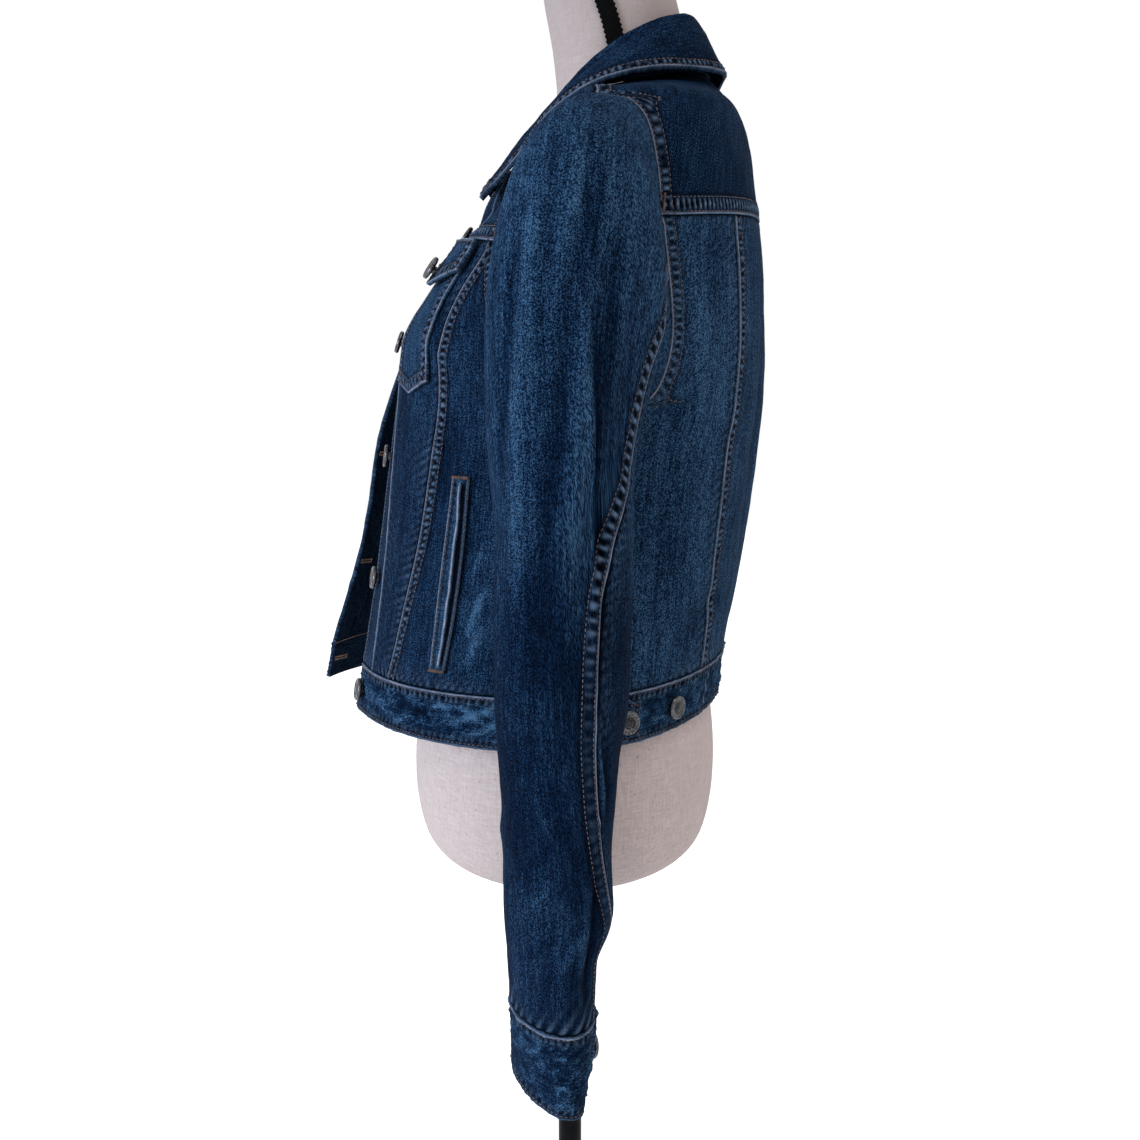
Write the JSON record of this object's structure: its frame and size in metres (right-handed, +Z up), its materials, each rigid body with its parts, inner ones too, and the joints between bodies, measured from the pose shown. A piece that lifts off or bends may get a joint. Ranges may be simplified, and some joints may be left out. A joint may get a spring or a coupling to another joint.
{
  "type": "denim jacket on a dress form",
  "caption": "Cropped denim jacket with chest flap pockets, slanted hand pockets and a buttoned waistband, worn open on a cloth-covered limbless dress form on a pole stand.",
  "frame": {"origin": "middle of the stand's underside on the floor, on the pole's axis", "axes": "+Z up along the pole, the jacket's front faces -Y, +X is the wearer's left"},
  "size_m": [0.5438, 0.3772, 1.2974],
  "materials": {
    "denim": "indigo twill, softly faded, with raised abraded seams",
    "form_cover": "plain woven pinkish beige cover stretched over foam",
    "trim": "black narrow trim",
    "button_metal": "antique silver with a darkened middle",
    "black_metal": "glossy black"
  },
  "bodies": {
    "root": {"placket_left": "denim", "front_panel_left": "denim", "front_side_left": "denim", "front_yoke_left": "denim", "back_side_left": "denim", "waistband_front_left": "denim", "placket_right": "denim", "front_panel_right": "denim", "front_side_right": "denim", "front_yoke_right": "denim", "back_side_right": "denim", "waistband_front_right": "denim", "back_panel": "denim", "back_yoke": "denim", "waistband_back": "denim", "sleeve_outer_left": "denim", "sleeve_under_left": "denim", "cuff_left": "denim", "sleeve_outer_right": "denim", "sleeve_under_right": "denim", "cuff_right": "denim", "collar": "denim", "pocket_left": "denim", "flap_left": "denim", "pocket_right": "denim", "flap_right": "denim", "welt_left": "denim", "welt_right": "denim", "tab_left": "denim", "tab_right": "denim", "button_front_1": "button_metal", "button_front_2": "button_metal", "button_front_3": "button_metal", "button_front_4": "button_metal", "button_front_5": "button_metal", "button_tab_left": "button_metal", "button_spare_left": "button_metal", "button_flap_left": "button_metal", "button_cuff_left": "button_metal", "button_tab_right": "button_metal", "button_spare_right": "button_metal", "button_flap_right": "button_metal", "button_cuff_right": "button_metal", "form_body": "form_cover", "neck_cap": "black_metal", "neck_trim_left": "trim", "neck_trim_right": "trim", "pole": "black_metal", "base": "black_metal"}
  },
  "joints": []
}
